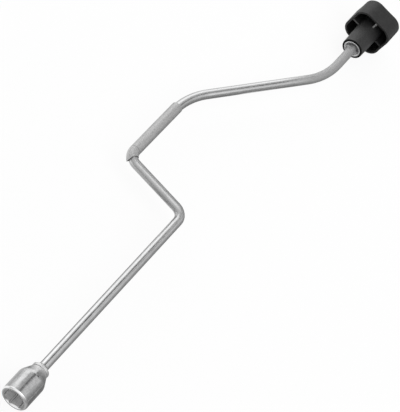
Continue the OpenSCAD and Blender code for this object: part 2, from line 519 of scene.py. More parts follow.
@dataclass(frozen=True, kw_only=True)
class PlatedSteel(Finish):
    """Zinc plate with fine lines along the work, soft blotches and pits.

    matt_and_painted_shading tells from where to where the plate turns matt and takes a drawn tone,
    and how much rougher it gets, once or more; matt_and_shading_along is the direction in which that
    is measured. shading_tone is how bright that tone is, as a share of dark, and shading_share how far
    it goes: on the socket it is painted light over the cone and painted shade on the bevel and the
    lead-in. wave is the height of soft waves and cool how much the plate leans to blue.
    """

    line: Point
    blotch: float
    pit: float = 0.5 * MM
    wave: float = 0.0
    wave_size: float = 6 * MM
    source: str | None = None
    matt_and_painted_shading: tuple[Point, ...] = ()
    matt_and_shading_along: Point = (1.0, 0.0, 0.0)
    shading_tone: float = 0.8
    shading_share: float = 0.3
    cool: float = 0.004
    relief: float = 0.012 * MM

    def look(self, sh: Shader) -> Look:
        """Lines, blotches and pits, the matt stretches with their drawn tone, and waves where it has
        them.

        Args:
            sh: The material's shader.

        Returns:
            The colour, what is added to the roughness, and the height.
        """
        lines = sh.grain(self.line, self.source, detail=3, rough=0.6)
        fine = sh.grain(tuple(size / 3 for size in self.line), self.source)
        blotches = sh.grain((self.blotch * 2.2, self.blotch, self.blotch), self.source,
                            detail=4, rough=0.62, warp=0.4)
        pits = sh.grain(self.pit, self.source, shift=(0.1, 0, 0))
        colour = self.tone(sh, blotches * 0.65 + lines * 0.35, -self.cool)
        rough = lines.sway(0.14) + blotches.sway(0.16)
        # Each stretch turns rougher and its colour is drawn towards a set tone: painted light on the
        # socket's cone, painted shade on its bevel and lead-in
        for start, end, gain in self.matt_and_painted_shading:
            along = sh.value("ShaderNodeVectorMath", {"operation": "DOT_PRODUCT"},
                             {0: sh.place(source=self.source), 1: self.matt_and_shading_along},
                             output="Value")
            matt = sh.ramp(along, start, end)
            rough = rough + matt * gain
            colour = sh.blend(matt * self.shading_share, colour, grey(self.dark * self.shading_tone))
        height = lines * 0.5 + fine * 0.3 + pits * 0.25
        if self.wave:
            waves = sh.grain((self.wave_size * 1.6, self.wave_size, self.wave_size),
                             self.source, detail=1, shift=(0, 0.05, 0))
            height = height + waves * (self.wave / self.relief)
        return colour, rough, height


@dataclass(frozen=True, kw_only=True)
class BroachedSteel(Finish):
    """The hexagon's walls: matt plate with the broach's lines along them.

    Painted shade darkens its corners' flanks, from the distance flank off the axis, and a painted
    glint brightens their root, from the distance root. Each blurs over a small way.
    """

    flank: float
    root: float
    flank_blur: float = 0.3 * MM
    root_blur: float = 0.2 * MM
    shade: float = 0.3
    glint: float = 1.0
    line: Point = (12 * MM, 0.35 * MM, 0.35 * MM)
    spot: float = 1.3 * MM
    metallic: float = 0.1
    relief: float = 0.05 * MM
    bite: float = 0.7

    def look(self, sh: Shader) -> Look:
        """Lines and spots, and the painted shade and painted glint towards the corners.

        Args:
            sh: The material's shader.

        Returns:
            The colour, what is added to the roughness, and the height.
        """
        lines = sh.grain(self.line, detail=3, rough=0.6)
        spots = sh.grain(self.spot, detail=4, rough=0.65)
        colour = self.tone(sh, lines * 0.4 + spots * 0.6)
        axes = sh.node("ShaderNodeSeparateXYZ", None, {0: sh.place()})
        across, up = (axis * (1 / MM) for axis in sh.values(axes, "YZ"))
        square = across * across + up * up
        # Painted shade on the corners' flanks, then a painted glint at their roots
        for start, blur, level in ((self.flank, self.flank_blur, self.shade),
                                   (self.root, self.root_blur, self.glint)):
            towards = sh.ramp(square, (start / MM) ** 2, ((start + blur) / MM) ** 2)
            colour = sh.blend(towards, colour, grey(level))
        return colour, spots.sway(0.3), lines * 0.6 + spots * 0.4


@dataclass(frozen=True, kw_only=True)
class DullTube(Finish):
    """Matt drawn tube, mottled and streaked lengthwise."""

    streak: Point = (14 * MM, 0.9 * MM, 0.9 * MM)
    mottle: Point = (4 * MM, 2.2 * MM, 2.2 * MM)
    pit: float = 0.35 * MM
    source: str = "unrolled"
    span: Pair = (0.34, 0.66)

    def look(self, sh: Shader) -> Look:
        """Streaks, mottle and pits.

        Args:
            sh: The material's shader.

        Returns:
            The colour, what is added to the roughness, and the height.
        """
        streaks = sh.grain(self.streak, self.source, detail=3, rough=0.65)
        mottle = sh.grain(self.mottle, self.source, detail=5, rough=0.7, warp=0.6)
        pits = sh.grain(self.pit, self.source)
        return (self.tone(sh, mottle * 0.6 + streaks * 0.4), mottle.sway(0.3) + streaks.sway(0.1),
                streaks * 0.5 + mottle * 0.3 + pits * 0.3)


@dataclass(frozen=True, kw_only=True)
class BlackMoulding(Finish):
    """Black plastic with a fine spark-eroded grain and faint handling marks."""

    metallic: float = 0.0
    gloss: float = 0.4
    grain: float = 0.28 * MM
    flow: Point = (16 * MM, 7 * MM, 7 * MM)
    scuff: Point = (2.6 * MM, 0.5 * MM, 0.9 * MM)
    mottle: float = 1.5 * MM
    relief: float = 0.035 * MM
    bite: float = 0.7

    def look(self, sh: Shader) -> Look:
        """Grain, flow lines, scuffs and mottle.

        Args:
            sh: The material's shader.

        Returns:
            The colour, what is added to the roughness, and the height.
        """
        grain = sh.grain(self.grain, detail=3, rough=0.55)
        flow = sh.grain(self.flow, detail=3, rough=0.55)
        scuffs = sh.grain(self.scuff, detail=4, rough=0.7, warp=0.8)
        mottle = sh.grain(self.mottle, shift=(0, 0.03, 0))
        worn = sh.ramp(scuffs * 0.7 + flow * 0.3, 0.55, 0.72) * 0.5 + sh.ramp(flow, 0.3, 0.75) * 0.5
        worn = worn + sh.ramp(mottle, 0.35, 0.65).sway(0.9)
        return (sh.blend(worn, grey(self.dark), grey(self.pale)),
                flow.sway(0.16) - sh.ramp(scuffs, 0.6, 0.75) * 0.07, grain * 0.8 + flow * 0.4)


@dataclass(frozen=True, kw_only=True)
class WeldBead(Finish):
    """Plated weld metal: rippled, spotted and darker in its hollows."""

    ripple: Point = (3 * MM, 1.1 * MM, 1.1 * MM)
    spot: float = 0.5 * MM
    span: Pair = (0.38, 0.6)
    relief: float = 0.12 * MM

    def look(self, sh: Shader) -> Look:
        """Ripples and spots.

        Args:
            sh: The material's shader.

        Returns:
            The colour, what is added to the roughness, and the height.
        """
        ripple = sh.grain(self.ripple, warp=0.5)
        spots = sh.grain(self.spot, detail=3, rough=0.7)
        return (self.tone(sh, ripple * 0.5 + spots * 0.5), spots.sway(0.3),
                ripple * 0.8 + spots * 0.3)


def coat(piece: Piece, material: bpy.types.Material, keep: Test | None = None) -> None:
    """Gives a piece its finish, or the faces that lie in a place a finish of their own.

    Args:
        piece: The piece.
        material: The finish.
        keep: Tells of a face's corners whether they are in, or None for the whole piece.
    """
    piece.data.materials.append(material)
    if keep is None:
        return
    piece.active_material_index = len(piece.data.materials) - 1
    with editing(piece):
        if not pick(Element.FACE, keep):
            raise ValueError(f"{piece.name} has no faces for {material.name}")
        bpy.ops.object.material_slot_assign()


# The bar


class Way(Enum):
    """Which way a bend of the bar turns, seen from above."""

    LEFT = 1
    RIGHT = -1


@dataclass(frozen=True)
class Bend:
    """One bend of the bar: its corner, its turn in degrees and its centre line radius."""

    corner: Pair
    turn: float
    radius: float
    way: Way

    @property
    def take(self) -> float:
        """How far before its corner the bend starts."""
        return self.radius * math.tan(math.radians(self.turn) / 2)


@dataclass(frozen=True)
class Station:
    """One ring of the bar: how far along the bar it is, where, and which way the bar heads."""

    along: float
    place: Vector
    heading: float

    @property
    def ahead(self) -> Vector:
        """The unit direction in which the bar heads."""
        return Vector((math.cos(self.heading), math.sin(self.heading), 0))

    @property
    def left(self) -> Vector:
        """The unit direction to the left of that."""
        return Vector((-math.sin(self.heading), math.cos(self.heading), 0))

    def straighten(self, place: Vector) -> Point:
        """Where a place near the station lies on the straightened bar."""
        off = place - self.place
        return (self.along + off.dot(self.ahead), off.dot(self.left), off.z)


@dataclass
class CrankRod:
    """The round bar, bent in one plane, with two ears pinched out in front of the knob.

    It is drawn ring by ring, in short steps round the bends and within ear_room of the ears.
    """

    start: float = 29.5 * MM
    end: float = 641.5 * MM
    chamfer: float = 0.8 * MM
    shank_reach: float = 279.3 * MM
    grip_reach: float = 103.5 * MM
    arm_angle: float = 88.0
    return_angle: float = 30.5
    easy_radius: float = 90 * MM
    ear_x: float = 591.9 * MM
    ear_stand: float = 1.7 * MM
    ear_reach: float = 2.3 * MM
    ear_tip: float = 0.3 * MM
    ear_room: float = 3.5 * MM
    sides: int = 48
    run_steps: int = 20
    stub_steps: int = 6
    lap: float = 1.5 * MM
    fewest_laps: int = 8
    stations: list[Station] = field(default_factory=list)

    def bends(self) -> list[Bend]:
        """Works out where the bar bends.

        Returns:
            The four bends in order from the socket.
        """
        grip_x = self.shank_reach + THROW / math.tan(math.radians(self.arm_angle))
        back_x = grip_x + self.grip_reach
        stub_x = back_x + (THROW - KNOB_Y) / math.tan(math.radians(self.return_angle))
        return [
            Bend((self.shank_reach, 0), self.arm_angle, SHARP_BEND, Way.LEFT),
            Bend((grip_x, THROW), self.arm_angle, SHARP_BEND, Way.RIGHT),
            Bend((back_x, THROW), self.return_angle, self.easy_radius, Way.RIGHT),
            Bend((stub_x, KNOB_Y), self.return_angle, self.easy_radius, Way.LEFT),
        ]

    def build(self) -> Piece:
        """Bends the bar from one ring, by extruding along the runs and spinning round the bends.

        Returns:
            The bar, with the place along the straightened bar kept on each vertex.
        """
        piece = hoop("bar", BAR_RADIUS, (self.start, 0, 0), self.sides)
        self.stations = [Station(0.0, Vector((self.start, 0, 0)), 0.0)]
        with editing(piece):
            bpy.ops.mesh.select_all(action="SELECT")
            bpy.ops.mesh.edge_face_add()
            pick(Element.EDGE, anywhere)
            for bend in self.bends():
                to_corner = Vector((*bend.corner, 0)) - self.stations[-1].place
                self._run(to_corner.length - bend.take, self.run_steps)
                self._bend(bend)
            for x, steps in ((self.ear_x - self.ear_room, self.stub_steps),
                             (self.ear_x + self.ear_room, self.run_steps),
                             (self.end - self.chamfer, self.stub_steps // 2), (self.end, 1)):
                self._run(x - self.stations[-1].place.x, steps)
            scale(1 - self.chamfer / BAR_RADIUS, tuple(self.stations[-1].place))
            bpy.ops.mesh.edge_face_add()
            close_up()
            for side in (-1, 1):
                tip = Vector((self.ear_x, KNOB_Y + side * BAR_RADIUS, 0))
                pick(Element.VERTEX, lambda p: (p - tip).length < self.ear_tip)
                pull((0, side * self.ear_stand, 0), "SPHERE", self.ear_reach)
        self._unroll(piece)
        return smooth(piece)

    def _run(self, length: float, steps: int) -> None:
        """Draws the open ring straight on.

        Args:
            length: How far.
            steps: In how many pieces.
        """
        for _ in range(steps):
            last = self.stations[-1]
            step = last.ahead * (length / steps)
            draw_on(tuple(step))
            self.stations.append(Station(last.along + length / steps, last.place + step,
                                         last.heading))

    def _bend(self, bend: Bend) -> None:
        """Spins the open ring round a bend, lap by lap.

        Args:
            bend: The bend.
        """
        start = self.stations[-1]
        centre = start.place + start.left * bend.radius * bend.way.value
        angle = math.radians(bend.turn)
        steps = max(self.fewest_laps, round(bend.radius * angle / self.lap))
        step = angle / steps * bend.way.value
        for _ in range(steps):
            last = self.stations[-1]
            swing(step, tuple(centre), 1)
            place = centre + Matrix.Rotation(step, 3, "Z") @ (last.place - centre)
            self.stations.append(Station(last.along + bend.radius * abs(step), place,
                                         last.heading + step))

    def _unroll(self, piece: Piece) -> None:
        """Keeps on each vertex where it lies on the straightened bar.

        Args:
            piece: The bar.
        """
        tree = KDTree(len(self.stations))
        for number, station in enumerate(self.stations):
            tree.insert(station.place, number)
        tree.balance()
        unroll(piece, lambda p: self.stations[tree.find(p)[1]].straighten(p))

    def dress(self, piece: Piece) -> None:
        """Gives the bar its plate, which is duller on the shank and on the stub.

        Args:
            piece: The bar.
        """
        coat(piece, PlatedSteel(
            name="bar_plate", pale=0.50, dark=0.42, roughness=0.18,
            line=(60 * MM, 0.5 * MM, 0.5 * MM), blotch=5 * MM, wave=0.004 * MM, source="unrolled",
            matt_and_painted_shading=((0.02, 0.2, 0.07), (0.18, 0.27, 0.13), (0.30, 0.38, -0.13), (0.53, 0.585, 0.45)),
            shading_share=0.15).make())
        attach(piece, "crank")
        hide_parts("crank_rod")


# The socket


@dataclass
class Socket:
    """The turned socket with its hexagon, and the weld that ties it to the bar.

    The hexagon's corners are relieved by small round holes. slip keeps the tool's rounds off its
    flats, and over and overlap are how far the tool reaches past a face and into itself. The
    weld's profile is told from the neck's end and the bar's skin.
    """

    hex_sides: int = 6
    flats: float = 19.3 * MM
    hex_depth: float = 22 * MM
    relief: float = 3 * MM
    radius: float = 14.2 * MM
    barrel: float = 27 * MM
    cone_end: float = 38 * MM
    neck_radius: float = 9 * MM
    groove: float = 0.5 * MM
    groove_width: float = 0.9 * MM
    length: float = 42.5 * MM
    bevel: float = 1.5 * MM
    bevel_in: float = 0.8 * MM
    corner_relief: float = 1.1 * MM
    relief_in: float = 0.8
    corner_sides: int = 20
    lead_in: float = 2.3 * MM
    lead_in_depth: float = 1.1 * MM
    slip: float = 0.04 * MM
    over: float = 1 * MM
    overlap: float = 0.5 * MM
    weld_profile: tuple[Pair, ...] = (
        (0, 0), (0, 2.6 * MM), (0.5 * MM, 2.5 * MM), (1.3 * MM, 1.6 * MM), (2.1 * MM, 0.8 * MM),
        (2.6 * MM, 0.12 * MM), (2.6 * MM, 0))
    weld_sides: int = 144
    beads: int = 18
    bead_reach: Pair = (0.4 * MM, 2.3 * MM)
    bead_root: float = 0.2 * MM
    bead_span: float = 0.05
    bead_dent: float = 0.14 * MM
    bead_creep: float = 0.1 * MM

    @property
    def corner(self) -> float:
        """How far the hexagon's corners are from the axis."""
        return self.flats / 2 / math.cos(math.pi / self.hex_sides)

    def build(self) -> Piece:
        """Turns the outside, then cuts the hexagon with its lead-in and its relief.

        Returns:
            The socket.
        """
        groove_end = self.cone_end + self.groove_width
        bottom = self.neck_radius - self.groove
        piece = turn("socket", [
            (0, self.radius - self.bevel_in, 0.25 * MM), (self.bevel, self.radius, 0.3 * MM),
            (self.barrel, self.radius, 2 * MM), (self.cone_end, self.neck_radius, 0.2 * MM),
            (self.cone_end, bottom), (groove_end, bottom),
            (groove_end, self.neck_radius, 0.25 * MM), (self.length, self.neck_radius, 1.3 * MM)])
        cut(piece, self._cavity())
        return smooth(piece, angle=28)

    def _cavity(self) -> Piece:
        """The tool: a hexagon with rounded corners, a lead-in cone and a round relief.

        Returns:
            The tool, one closed piece.
        """
        length = self.hex_depth + self.over
        middle = self.hex_depth - length / 2
        half_side = math.pi / self.hex_sides
        corner_up = Matrix.Rotation(half_side, 3, "X") @ Matrix.Rotation(math.pi / 2, 3, "Y")
        bpy.ops.mesh.primitive_cylinder_add(vertices=self.hex_sides, radius=self.corner,
                                            depth=length, location=(middle, 0, 0),
                                            rotation=corner_up.to_euler())
        tool = adopt("hexagon_tool")
        reach = self.corner - self.relief_in * self.corner_relief
        for corner in range(self.hex_sides):
            angle = (2 * corner + 1) * half_side
            bpy.ops.mesh.primitive_cylinder_add(
                vertices=self.corner_sides, radius=self.corner_relief, depth=length - HAIR,
                location=(middle, reach * math.cos(angle), reach * math.sin(angle)),
                rotation=ACROSS)
            cut(tool, adopt("corner_tool"), "UNION")
        inscribed = self.flats / 2 - self.slip
        slope = self.lead_in / self.lead_in_depth
        cut(tool, turn("lead_in_tool", [
            (-self.over, inscribed + self.lead_in + slope * self.over),
            (self.lead_in_depth, inscribed)]), "UNION")
        cut(tool, turn("relief_tool", [(self.hex_depth - self.overlap, inscribed),
                                       (self.hex_depth + self.relief, inscribed)]), "UNION")
        return tool

    def build_weld(self) -> Piece:
        """A fillet of weld round the bar, with the beads of one pass.

        Returns:
            The weld.
        """
        piece = turn("weld", [(self.length + along, BAR_RADIUS + out)
                              for along, out in self.weld_profile],
                     ring_like=True, sides=self.weld_sides)
        low, high = (self.length + along for along in self.bead_reach)
        with editing(piece):
            for bead in range(self.beads):
                angle = 2 * math.pi * bead / self.beads
                way = Vector((0, math.cos(angle), math.sin(angle)))
                pick(Element.VERTEX, lambda p: low < p.x < high
                     and (Vector((0, p.y, p.z)).normalized() - way).length < self.bead_span
                     and distance(p, 0) > BAR_RADIUS + self.bead_root)
                push(tuple(-way * self.bead_dent - Vector((self.bead_creep, 0, 0))))
        return smooth(piece, angle=60)

    def dress(self, piece: Piece, weld: Piece) -> None:
        """Gives the socket its satin plate with painted light over the cone, painted highlights and
        shade on its bevel and lead-in, painted shade and glints in its hexagon's corners, and dresses
        the weld.

        Args:
            piece: The socket.
            weld: The weld.
        """
        # Painted highlight: the bevel and the lead-in get a pale plate, and each is drawn darker, as
        # painted shade, everywhere but on one side
        painted_highlight_plate = {"pale": 0.92, "dark": 0.8, "line": (0.6 * MM, 5 * MM, 5 * MM), "blotch": 3 * MM}
        # Painted light: the plate is drawn paler, as well as rougher, from the barrel's end over the
        # cone and the neck
        coat(piece, PlatedSteel(
            name="socket_plate", pale=0.39, dark=0.3, roughness=0.23,
            line=(2.2 * MM, 5 * MM, 5 * MM), blotch=3.4 * MM, wave=0.02 * MM, wave_size=5 * MM,
            matt_and_painted_shading=((self.barrel + 2 * MM, self.cone_end, 0.3),), shading_tone=1.9, shading_share=0.9).make())
        coat(piece, PlatedSteel(
            name="bevel_painted_highlight_and_shade", roughness=0.26, matt_and_painted_shading=((8 * MM, 2 * MM, 0.05),),
            matt_and_shading_along=(0, 0.8, 0.6), shading_tone=0.45, shading_share=0.9, **painted_highlight_plate).make(),
            lambda p: p.x < self.bevel + 0.5 * MM
            and distance(p, 0) > self.radius - self.bevel_in - 0.4 * MM)
        coat(piece, PlatedSteel(
            name="lead_in_painted_highlight_and_shade", roughness=0.3, matt_and_painted_shading=((9.5 * MM, 7 * MM, 0.1),),
            matt_and_shading_along=(0, -0.37, -0.93), shading_tone=0.3, shading_share=1.0, **painted_highlight_plate).make(),
            lambda p: p.x < self.lead_in_depth + HAIR
            and distance(p, 0) < self.flats / 2 + self.lead_in)
        # Painted shade on the hexagon's corner flanks and a painted glint at their roots
        coat(piece, BroachedSteel(
            name="broached_hexagon", pale=1.0, dark=0.8, roughness=0.5,
            flank=self.corner - 0.65 * MM, root=self.corner - 0.05 * MM).make(),
            lambda p: self.lead_in_depth / 5 < p.x < self.hex_depth + self.relief + HAIR
            and distance(p, 0) < self.corner + self.corner_relief)
        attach(piece, "crank")
        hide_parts("hex_socket")
        coat(weld, WeldBead(name="weld_metal", pale=0.5, dark=0.3, roughness=0.38).make())
        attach(weld, "crank")
        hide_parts("socket_weld")


# The sleeve and its stop


@dataclass(frozen=True)
class FerruleRing:
    """One ring of the ferrule.

    back and lean are the degrees that its place and its plane have turned from the sleeve's end,
    and off is how far its centre stands outside the bar's own line.
    """

    back: float
    lean: float
    radius: float
    off: float


@dataclass
class Grip:
    """The loose tube on the grip and the bent ferrule that stops it at the arm.

    Towards its lip the ferrule swells and stands off the bar. The lip's outermost stretch is drawn
    out by tongue and its sides are drawn back by arch, held within draw_tip of their middles.
    """

    start: float = 292.94 * MM
    length: float = 75 * MM
    radius: float = 6 * MM
    bore: float = 5.5 * MM
    end_lap: float = 6 * MM
    stop_x: float = 292.64 * MM
    stop_off: float = 0.95 * MM
    stop_swell: float = 0.35 * MM
    stop_sweep: float = 57.0
    stop_lean: float = 58.0
    stop_steps: int = 18
    stop_sides: int = 72
    tongue: float = 0.3 * MM
    arch: float = 1.2 * MM
    draw_tip: float = 0.8 * MM
    draw_reach: float = 8 * MM
    lip_wall: float = 0.6 * MM
    lip_depth: float = 14.0
    floor_lean: float = 6.0
    floor_step: float = 2.0
    bore_slip: float = 0.04 * MM
    bore_steps: int = 10
    edge: float = 0.2 * MM

    def build_sleeve(self) -> Piece:
        """The tube, with both ends dressed and the far one rounded more.

        Returns:
            The tube.
        """
        end = self.start + self.length
        piece = turn("sleeve", [
            (end - self.end_lap, self.bore), (end, self.bore, 0.15 * MM),
            (end, self.radius, 0.4 * MM), (end - self.end_lap, self.radius),
            (self.start, self.radius, 0.18 * MM), (self.start, self.bore, 0.15 * MM)],
            THROW, ring_like=True, steps=3)
        unroll(piece, lambda p: p - Vector((self.start, THROW, 0)))
        return smooth(piece)

    def _centre(self, ring: FerruleRing) -> Vector:
        """The centre of a ring of the ferrule."""
        angle, radius = math.radians(ring.back), SHARP_BEND + ring.off
        return Vector((self.stop_x - radius * math.sin(angle),
                       THROW - SHARP_BEND + radius * math.cos(angle), 0))

    def _step(self, start: FerruleRing, end: FerruleRing) -> None:
        """Draws the open ring on from one place of the ferrule to the next.

        Args:
            start: The ring as it is.
            end: The ring that is drawn from it.
        """
        centre = tuple(self._centre(end))
        draw_on(tuple(self._centre(end) - self._centre(start)))
        pivot(math.radians(end.lean - start.lean), centre)
        bpy.ops.transform.resize(value=(end.radius / start.radius,) * 3, center_override=centre)

    def _rings(self) -> list[FerruleRing]:
        """The ferrule's rings: out over its skin, round its lip and back along the bar.

        Returns:
            The rings in order, the lip's at stop_steps.
        """
        rings = []
        for number in range(self.stop_steps + 1):
            part = number / self.stop_steps
            rings.append(FerruleRing(part * self.stop_sweep, part * self.stop_lean,
                                     self.radius + part * self.stop_swell,
                                     part * part * self.stop_off))
        lip = rings[-1]
        bore = BAR_RADIUS + self.bore_slip
        widest = self.stop_off + lip.radius - self.lip_wall
        recess, off = (widest + bore) / 2, (widest - bore) / 2
        floor = lip.back - self.lip_depth
        foot = floor - self.floor_step
        rings.append(FerruleRing(lip.back, lip.lean, recess, off))
        rings.append(FerruleRing(floor, floor + self.floor_lean, (recess + bore) / 2, off / 2))
        for number in range(self.bore_steps, -1, -1):
            back = foot * number / self.bore_steps
            rings.append(FerruleRing(back, back, bore, 0))
        return rings

    def build_stop(self) -> Piece:
        """The bent ferrule, with a lip that stands off the bar on the outside of the bend.

        Returns:
            The ferrule.
        """
        rings = self._rings()
        lip = rings[self.stop_steps]
        lean = math.radians(lip.lean)
        piece = hoop("sleeve_end", self.radius, (self.stop_x, THROW, 0), self.stop_sides)
        with editing(piece):
            bpy.ops.mesh.select_all(action="SELECT")
            for start, end in zip(rings, rings[1:] + rings[:1]):
                self._step(start, end)
            close_up()
            self._draw(lip, Vector((-math.sin(lean), math.cos(lean), 0)), self.tongue)
            for side in (-1, 1):
                self._draw(lip, Vector((0, 0, side)), -self.arch)
        unroll(piece, self._straighten)
        modify(piece, "BEVEL", width=self.edge, segments=3, limit_method="ANGLE",
               angle_limit=math.radians(50))
        return smooth(piece, angle=35)

    def _straighten(self, place: Vector) -> Point:
        """Where a place on the ferrule lies on the straightened bar."""
        off = place - Vector((self.stop_x, THROW - SHARP_BEND, 0))
        return (-SHARP_BEND * math.atan2(-off.x, off.y),
                math.hypot(off.x, off.y) - SHARP_BEND, off.z)

    def _draw(self, lip: FerruleRing, towards: Vector, reach: float) -> None:
        """Draws one stretch of the lip along the bend.

        Args:
            lip: The lip's ring.
            towards: Unit direction from the lip's centre to the middle of the stretch.
            reach: How far it is drawn; below zero it goes back towards the sleeve.
        """
        lean = math.radians(lip.lean)
        middle = self._centre(lip) + towards * lip.radius
        pick(Element.VERTEX, lambda p: (p - middle).length < self.draw_tip)
        pull((-math.cos(lean) * reach, -math.sin(lean) * reach, 0), "SMOOTH", self.draw_reach)

    def dress(self, sleeve: Piece, stop: Piece) -> None:
        """Gives both the dull tube's finish.

        Args:
            sleeve: The tube.
            stop: The ferrule.
        """
        finish = DullTube(name="dull_tube", pale=0.46, dark=0.35, roughness=0.6).make()
        for piece, body, node in ((sleeve, "sleeve", "grip_sleeve"),
                                  (stop, "crank", "sleeve_stop")):
            coat(piece, finish)
            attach(piece, body)
            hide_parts(node)


# The knob


@dataclass
class Knob:
    """The black moulded palm knob, its metal cup and its cap.

    The head is a square with rounded corners, hollow up to the crown. rib_root is where a rib
    starts, inside the hub, and overlap how far a form or a tool reaches past the one it joins.
    lip is how deep the hub's mouth and skin are dressed, and highlight_strip the half-width of the
    strip of painted highlight on a rib's edge.
    """

    start: float = 592.3 * MM
    top: float = 650 * MM
    hub_radius: float = 11.9 * MM
    hub_root: float = 13.2 * MM
    hub_edge: float = 1.1 * MM
    width: float = 46.4 * MM
    corner: float = 14 * MM
    corner_steps: int = 12
    side_cuts: int = 7
    height: float = 26 * MM
    wall: float = 2.5 * MM
    crown: float = 3.5 * MM
    crown_edge: float = 3.5 * MM
    ceiling_edge: float = 1.2 * MM
    rim_edge: float = 0.55 * MM
    rim_slack: float = 0.2 * MM
    side_dip: float = 0.3 * MM
    dip_spread: float = 2.6
    rib: float = 2.2 * MM
    rib_drop: float = 0.4 * MM
    rib_edge: float = 0.45 * MM
    rib_root: float = 9.5 * MM
    lip: float = 1.2 * MM
    highlight_strip: float = 0.15 * MM
    overlap: float = 1 * MM
    bore: float = 5.08 * MM
    cup_radius: float = 9.8 * MM
    cup_depth: float = 3 * MM
    cup_sheet: float = 0.9 * MM
    pocket_radius: float = 8.7 * MM
    pocket_depth: float = 14 * MM
    cap_radius: float = 9.7 * MM
    cap_thickness: float = 2.6 * MM
    cap_skirt: float = 3.6 * MM
    cap_wall: float = 1.2 * MM
    cap_room: float = 0.05 * MM
    cap_dip: float = 0.5 * MM

    @property
    def rim(self) -> float:
        """Where the palm head's open rim lies."""
        return self.top - self.height

    @property
    def ceiling(self) -> float:
        """Where the palm head's hollow ends."""
        return self.top - self.crown

    @property
    def shelf(self) -> float:
        """Where the cap sits in the knob's top."""
        return self.top - self.cap_thickness

    def _head(self) -> Piece:
        """The palm head's shell: a square with rounded corners, drawn up, edged and hollowed.

        Returns:
            The shell.
        """
        half, middle = self.width / 2, (self.rim, KNOB_Y, 0)
        flat = half - self.corner + HAIR
        bpy.ops.mesh.primitive_plane_add(size=self.width, location=middle, rotation=ACROSS)
        piece = adopt("knob")
        with editing(piece):
            pick(Element.VERTEX, anywhere)
            bpy.ops.mesh.bevel(offset=self.corner, offset_type="OFFSET",
                               segments=self.corner_steps, affect="VERTICES")
            pick(Element.EDGE, lambda p: abs(p.y - KNOB_Y) < flat or abs(p.z) < flat)
            bpy.ops.mesh.subdivide(number_cuts=self.side_cuts)
            pick(Element.VERTEX, lambda p: min(abs(p.y - KNOB_Y), abs(p.z)) < HAIR)
            bpy.ops.transform.resize(
                value=(1, 1 - self.side_dip / half, 1 - self.side_dip / half),
                center_override=middle, use_proportional_edit=True,
                proportional_edit_falloff="SMOOTH", proportional_size=self.width / self.dip_spread)
            pick(Element.FACE, anywhere)
            draw_out((self.height, 0, 0))
            round_off(self.crown_edge, lambda p: abs(p.x - self.top) < HAIR, steps=7)
            close_up()
            pick(Element.FACE, lambda p: abs(p.x - self.rim) < HAIR)
            bpy.ops.mesh.inset(thickness=self.wall, use_even_offset=True)
            draw_out((self.ceiling - self.rim, 0, 0))
        return piece

    def build(self) -> Piece:
        """Moulds the knob: head, hub and ribs in one closed piece.

        Returns:
            The knob.
        """
        piece = self._head()
        with editing(piece):
            for inner in (False, True):
                round_off(self.rim_edge, lambda p: abs(p.x - self.rim) < HAIR
                          and self._is_inner(p) == inner)
            round_off(self.ceiling_edge, lambda p: abs(p.x - self.ceiling) < HAIR, steps=4)
            close_up()
        for side in (0, 90, 180, 270):
            cut(piece, self._rib(side), "UNION")
        cut(piece, self._hub(), "UNION")
        cut(piece, self._hollow())
        return smooth(piece, angle=30)

    def _is_inner(self, place: Vector) -> bool:
        """Whether a place on the rim belongs to the hollow's edge."""
        past = [max(abs(off) - self.width / 2 + self.corner, 0) for off in (place.y - KNOB_Y, place.z)]
        return math.hypot(*past) < self.corner - self.wall / 2 - self.rim_slack

    def _rib(self, side: float) -> Piece:
        """One rib from the hub to the wall, its lower edges rounded.

        Args:
            side: Degrees by which it is turned about the knob's axis.

        Returns:
            The rib.
        """
        low, high = self.rim + self.rib_drop, self.ceiling + self.overlap
        near, far = self.rib_root, self.width / 2 - self.wall / 2 - self.side_dip
        bpy.ops.mesh.primitive_cube_add(size=1, location=((low + high) / 2, (near + far) / 2, 0),
                                        scale=(high - low, far - near, self.rib))
        piece = adopt("rib")
        with editing(piece):
            round_off(self.rib_edge, lambda p: p.x < low + HAIR)
            close_up()
        piece.data.transform(Matrix.Translation((0, KNOB_Y, 0))
                             @ Matrix.Rotation(math.radians(side), 4, "X"))
        return piece

    def _hub(self) -> Piece:
        """The hub's solid cone with a rounded mouth.

        Returns:
            The hub.
        """
        end = self.ceiling + self.overlap
        slope = (self.hub_root - self.hub_radius) / (self.ceiling - self.start)
        return turn("hub", [(self.start, self.hub_radius, self.hub_edge),
                            (end, self.hub_radius + slope * (end - self.start))], KNOB_Y, steps=5)

    def _hollow(self) -> Piece:
        """The tool that clears the cup's seat, the bore, the retainer's pocket and the cap's seat."""
        seat, floor = self.start + self.cup_depth, self.top - self.pocket_depth
        return turn("hollow_tool", [
            (self.start - self.overlap, self.cup_radius), (seat, self.cup_radius),
            (seat, self.bore), (floor, self.bore), (floor, self.pocket_radius),
            (self.shelf, self.pocket_radius), (self.shelf, self.cap_radius),
            (self.top + self.overlap, self.cap_radius)], KNOB_Y)

    def build_cup(self) -> Piece:
        """The pressed cup: a rolled rim, a dished floor and a hole for the bar.

        Returns:
            The cup.
        """
        rim, back = self.cup_radius, self.start + self.cup_depth
        floor = back - self.cup_sheet
        return smooth(turn("cup", [
            (floor + 0.1 * MM, self.bore), (floor - 0.25 * MM, self.bore + 1.3 * MM),
            (floor, rim - 2.9 * MM, 0.4 * MM), (self.start + 0.8 * MM, rim - 1.9 * MM, 0.3 * MM),
            (self.start, rim - 1.5 * MM, 0.3 * MM), (self.start, rim - 0.35 * MM, 0.25 * MM),
            (self.start + 0.5 * MM, rim), (back, rim), (back, self.bore)],
            KNOB_Y, ring_like=True, steps=3), angle=50)

